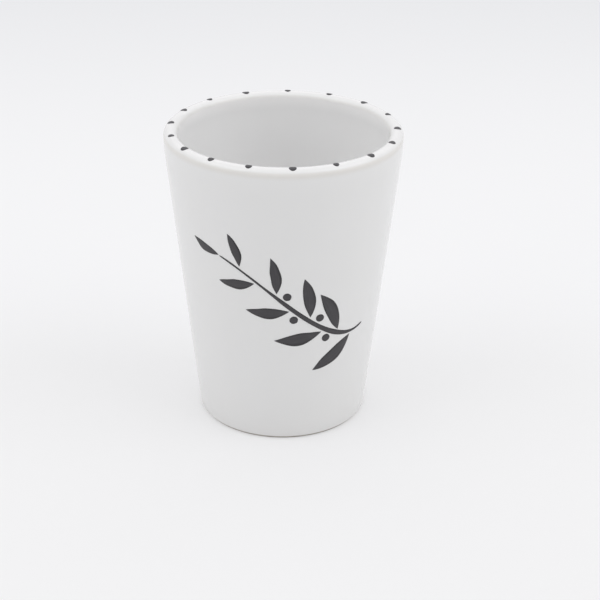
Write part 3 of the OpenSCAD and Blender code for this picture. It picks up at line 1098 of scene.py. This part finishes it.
def nodes_named(start):
    """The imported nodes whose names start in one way, in order."""
    return sorted(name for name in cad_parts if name.startswith(start))


def turned_piece(name, settings, draw_section, finish, wander=0.0):
    """A piece turned from a half section, in the finish of a name."""
    section = draw_section(CupShape(settings.cup))
    return grow(name, turned_tree, line_mesh(name, section), {
        "Segments": settings.cup.segments,
        "Edge Wander": wander,
        "Finish": finish_named(finish, settings),
    })


def enamel_values(settings):
    """Inputs that all dabs and strokes of enamel share."""
    return {
        "Enamel": settings.enamel.paint_thickness,
        "Seat": settings.enamel.paint_seat,
        "Finish": finish_named("brushed_charcoal_enamel", settings),
    }


def wall_values(settings, shape):
    """Inputs that all dabs and strokes on the wall share."""
    return {"Foot Radius": shape.foot_radius, "Lean": shape.lean, **enamel_values(settings)}


class TurnClayBody(bpy.types.Operator):
    """Turn the fired clay cup with its foot ring and the hollow under its floor"""

    bl_idname = "shot_cup.turn_clay_body"
    bl_label = "Turn clay body"

    def execute(self, context):
        settings = context.scene.shot_cup
        piece = turned_piece("fired_clay_body", settings, clay_section, "bare_fired_clay")
        settle(piece, ["clay_body"])
        return {"FINISHED"}


class PourGlazeCoat(bpy.types.Operator):
    """Coat the cup in white glaze, from above the foot over the lip to the floor"""

    bl_idname = "shot_cup.pour_glaze_coat"
    bl_label = "Pour glaze coat"

    def execute(self, context):
        settings = context.scene.shot_cup
        piece = turned_piece("white_glaze_coat", settings, glaze_section, "soft_white_glaze")
        settle(piece, ["glaze_coat"])
        return {"FINISHED"}


class BrushBaseGlaze(bpy.types.Operator):
    """Brush the patch of glaze into the hollow under the floor"""

    bl_idname = "shot_cup.brush_base_glaze"
    bl_label = "Brush base glaze"

    def execute(self, context):
        settings = context.scene.shot_cup
        wander = settings.cup.base_glaze_wander
        piece = turned_piece("base_glaze_patch", settings, base_glaze_section, "soft_white_glaze", wander)
        settle(piece, ["base_glaze"])
        return {"FINISHED"}


class DabLipDots(bpy.types.Operator):
    """Dab the enamel dots along the crown of the lip"""

    bl_idname = "shot_cup.dab_lip_dots"
    bl_label = "Dab lip dots"

    def execute(self, context):
        settings = context.scene.shot_cup
        shape = CupShape(settings.cup)
        enamel = settings.enamel
        piece = grow("lip_dots", lip_dot_tree, bpy.data.meshes.new("lip_dots"), {
            "Dot Count": enamel.dot_count,
            "Dot Diameter": enamel.dot_diameter,
            "Dot Offset": enamel.dot_offset,
            "Unevenness": enamel.dot_unevenness,
            "Start": enamel.dot_start,
            "Drift": enamel.dot_drift,
            "Drift Peak": enamel.dot_drift_peak,
            "Tremble": enamel.dot_tremble,
            "Lip Radius": shape.lip_centre.x,
            "Lip Height": shape.lip_centre.y,
            "Lip Round": shape.lip_round,
            **enamel_values(settings),
        })
        settle(piece, nodes_named("rim_dot_"))
        return {"FINISHED"}


class PaintSprigStem(bpy.types.Operator):
    """Paint the sprig's stem in one long stroke"""

    bl_idname = "shot_cup.paint_sprig_stem"
    bl_label = "Paint sprig stem"

    def execute(self, context):
        settings = context.scene.shot_cup
        shape = CupShape(settings.cup)
        sprig = settings.sprig
        path = [(p.x, p.y, 0.0) for p in SprigShape(sprig, shape).path]
        piece = grow("sprig_stem_stroke", stem_tree, bpy.data.meshes.new("sprig_stem_stroke"), {
            **dict(zip(("Root", "Root Handle", "Tip Handle", "Tip"), path)),
            "Stem Width": sprig.stem_width,
            "Tremble": sprig.stroke_tremble,
            "Turn": sprig.turn,
            **wall_values(settings, shape),
        })
        settle(piece, ["sprig_stem"])
        return {"FINISHED"}


class PaintSprigLeaves(bpy.types.Operator):
    """Paint the sprig's leaves, one brush stroke each"""

    bl_idname = "shot_cup.paint_sprig_leaves"
    bl_label = "Paint sprig leaves"

    def execute(self, context):
        settings = context.scene.shot_cup
        shape = CupShape(settings.cup)
        sprig = settings.sprig
        places = stroke_mesh("sprig_leaf_strokes", SprigShape(sprig, shape).leaves())
        piece = grow("sprig_leaf_strokes", leaf_tree, places, {
            "Leaf Length": sprig.leaf_length,
            "Belly": sprig.leaf_belly,
            "Hollow": sprig.leaf_hollow,
            "Tremble": sprig.stroke_tremble,
            **wall_values(settings, shape),
        })
        settle(piece, nodes_named("sprig_leaf_"))
        return {"FINISHED"}


class DabSprigBerries(bpy.types.Operator):
    """Dab the sprig's berries beside the stem"""

    bl_idname = "shot_cup.dab_sprig_berries"
    bl_label = "Dab sprig berries"

    def execute(self, context):
        settings = context.scene.shot_cup
        shape = CupShape(settings.cup)
        sprig = settings.sprig
        places = stroke_mesh("sprig_berry_dabs", SprigShape(sprig, shape).berries())
        values = {"Tremble": sprig.berry_tremble, **wall_values(settings, shape)}
        piece = grow("sprig_berry_dabs", berry_tree, places, values)
        settle(piece, nodes_named("sprig_berry_"))
        return {"FINISHED"}


# Stage

def lay_floor(settings):
    """A wide pale floor under the cup."""
    half = settings.stage.floor_size / 2
    mesh = bpy.data.meshes.new("tent_floor")
    corners = [(-half, -half, 0.0), (half, -half, 0.0), (half, half, 0.0), (-half, half, 0.0)]
    mesh.from_pydata(corners, [], [(0, 1, 2, 3)])
    mesh.materials.append(pale_floor(settings))
    floor = bpy.data.objects.new("tent_floor", mesh)
    bpy.context.scene.collection.objects.link(floor)


def hang_light(name, energy, size, place):
    """One soft square light at a place, aimed at the origin and hidden from the camera."""
    light = bpy.data.lights.new(name, "AREA")
    light.size = size
    light.energy = energy
    lamp = bpy.data.objects.new(name, light)
    aim = (-place).to_track_quat("-Z", "Y")
    lamp.matrix_world = Matrix.Translation(place) @ aim.to_matrix().to_4x4()
    lamp.visible_camera = False
    bpy.context.scene.collection.objects.link(lamp)


def hang_lights(stage):
    """A wide soft light above, set back a little, and a smaller one on each side."""
    roof = Vector((0.0, stage.roof_setback, stage.roof_height))
    hang_light("tent_roof", stage.roof_light, stage.roof_size, roof)
    ahead = stage.side_distance * math.cos(stage.side_rise)
    height = stage.side_distance * math.sin(stage.side_rise)
    sides = (("tent_left", -1.0, stage.left_light), ("tent_right", 1.0, stage.right_light))
    for name, side, energy in sides:
        across = side * ahead * math.sin(stage.side_turn)
        place = Vector((across, -ahead * math.cos(stage.side_turn), height))
        hang_light(name, energy, stage.side_size, place)


WHITE = (1.0, 1.0, 1.0, 1.0)


def light_tent(settings):
    """Even light from all round. The camera and the gloss see a pale tent in its place."""
    world = bpy.data.worlds.new("light_tent")
    world.use_nodes = True
    bpy.context.scene.world = world
    sheet = NodeSheet(world.node_tree)
    exit_node = world.node_tree.nodes["World Output"]
    lit = world.node_tree.nodes["Background"]
    sheet.fill(lit, {"Color": WHITE, "Strength": settings.stage.tent_light})
    seen = sheet.add("ShaderNodeBackground", {"Color": (*settings.finish.tent, 1.0), "Strength": 1.0})
    mix = sheet.add("ShaderNodeMixShader", {0: looked_at(sheet), 1: lit.outputs[0], 2: seen.outputs[0]})
    sheet.feed(exit_node.inputs["Surface"], mix.outputs[0])


NEAREST_SEEN = 0.01
FURTHEST_SEEN = 20.0


def place_camera(stage):
    """The camera stands in front of the cup, above it, and is aimed by small turns of its own."""
    lens = bpy.data.cameras.new("studio_camera")
    lens.sensor_fit = "HORIZONTAL"
    lens.angle = stage.field_of_view
    lens.clip_start = NEAREST_SEEN
    lens.clip_end = FURTHEST_SEEN
    camera = bpy.data.objects.new("studio_camera", lens)
    rise = stage.camera_elevation
    back = stage.camera_distance * math.cos(rise)
    up = stage.camera_aim_height + stage.camera_distance * math.sin(rise)
    pose = Matrix.Translation((0.0, -back, up)) @ Matrix.Rotation(math.pi / 2 - rise, 4, "X")
    turns = ((stage.camera_yaw, "Y"), (stage.camera_pitch, "X"), (stage.camera_roll, "Z"))
    for amount, axis in turns:
        pose = pose @ Matrix.Rotation(amount, 4, axis)
    camera.matrix_world = pose
    bpy.context.scene.collection.objects.link(camera)
    bpy.context.scene.camera = camera


class SetStage(bpy.types.Operator):
    """Lay the floor, light the tent and place the camera"""

    bl_idname = "shot_cup.set_stage"
    bl_label = "Set stage"

    def execute(self, context):
        settings = context.scene.shot_cup
        context.scene.view_settings.view_transform = "Standard"
        lay_floor(settings)
        hang_lights(settings.stage)
        light_tent(settings)
        place_camera(settings.stage)
        return {"FINISHED"}


MAKING_STEPS = (
    TurnClayBody,
    PourGlazeCoat,
    BrushBaseGlaze,
    DabLipDots,
    PaintSprigStem,
    PaintSprigLeaves,
    DabSprigBerries,
    SetStage,
)


class ShotCupPanel(bpy.types.Panel):
    """Settings and steps of the shot cup."""

    bl_idname = "VIEW3D_PT_shot_cup"
    bl_label = "Ceramic shot cup"
    bl_space_type = "VIEW_3D"
    bl_region_type = "UI"
    bl_category = "Shot cup"

    def draw(self, context):
        settings = context.scene.shot_cup
        for step in MAKING_STEPS:
            self.layout.operator(step.bl_idname)
        for label in ("cup", "enamel", "sprig", "finish", "stage"):
            group = getattr(settings, label)
            box = self.layout.box()
            box.label(text=label.capitalize())
            for name in group.__annotations__:
                box.prop(group, name)


CLASSES = (
    CupSizes,
    EnamelSizes,
    SprigSizes,
    CupFinishes,
    StageSettings,
    ShotCupSettings,
    *MAKING_STEPS,
    ShotCupPanel,
)


def register():
    """Adds the classes and the scene's settings."""
    for kind in CLASSES:
        bpy.utils.register_class(kind)
    bpy.types.Scene.shot_cup = PointerProperty(type=ShotCupSettings)


def unregister():
    """Takes the settings and the classes away again."""
    del bpy.types.Scene.shot_cup
    for kind in reversed(CLASSES):
        bpy.utils.unregister_class(kind)


def main():
    """Builds the whole cup and its stage."""
    register()
    bpy.ops.shot_cup.turn_clay_body()
    bpy.ops.shot_cup.pour_glaze_coat()
    bpy.ops.shot_cup.brush_base_glaze()
    bpy.ops.shot_cup.dab_lip_dots()
    bpy.ops.shot_cup.paint_sprig_stem()
    bpy.ops.shot_cup.paint_sprig_leaves()
    bpy.ops.shot_cup.dab_sprig_berries()
    bpy.ops.shot_cup.set_stage()


if __name__ == "__main__":
    main()
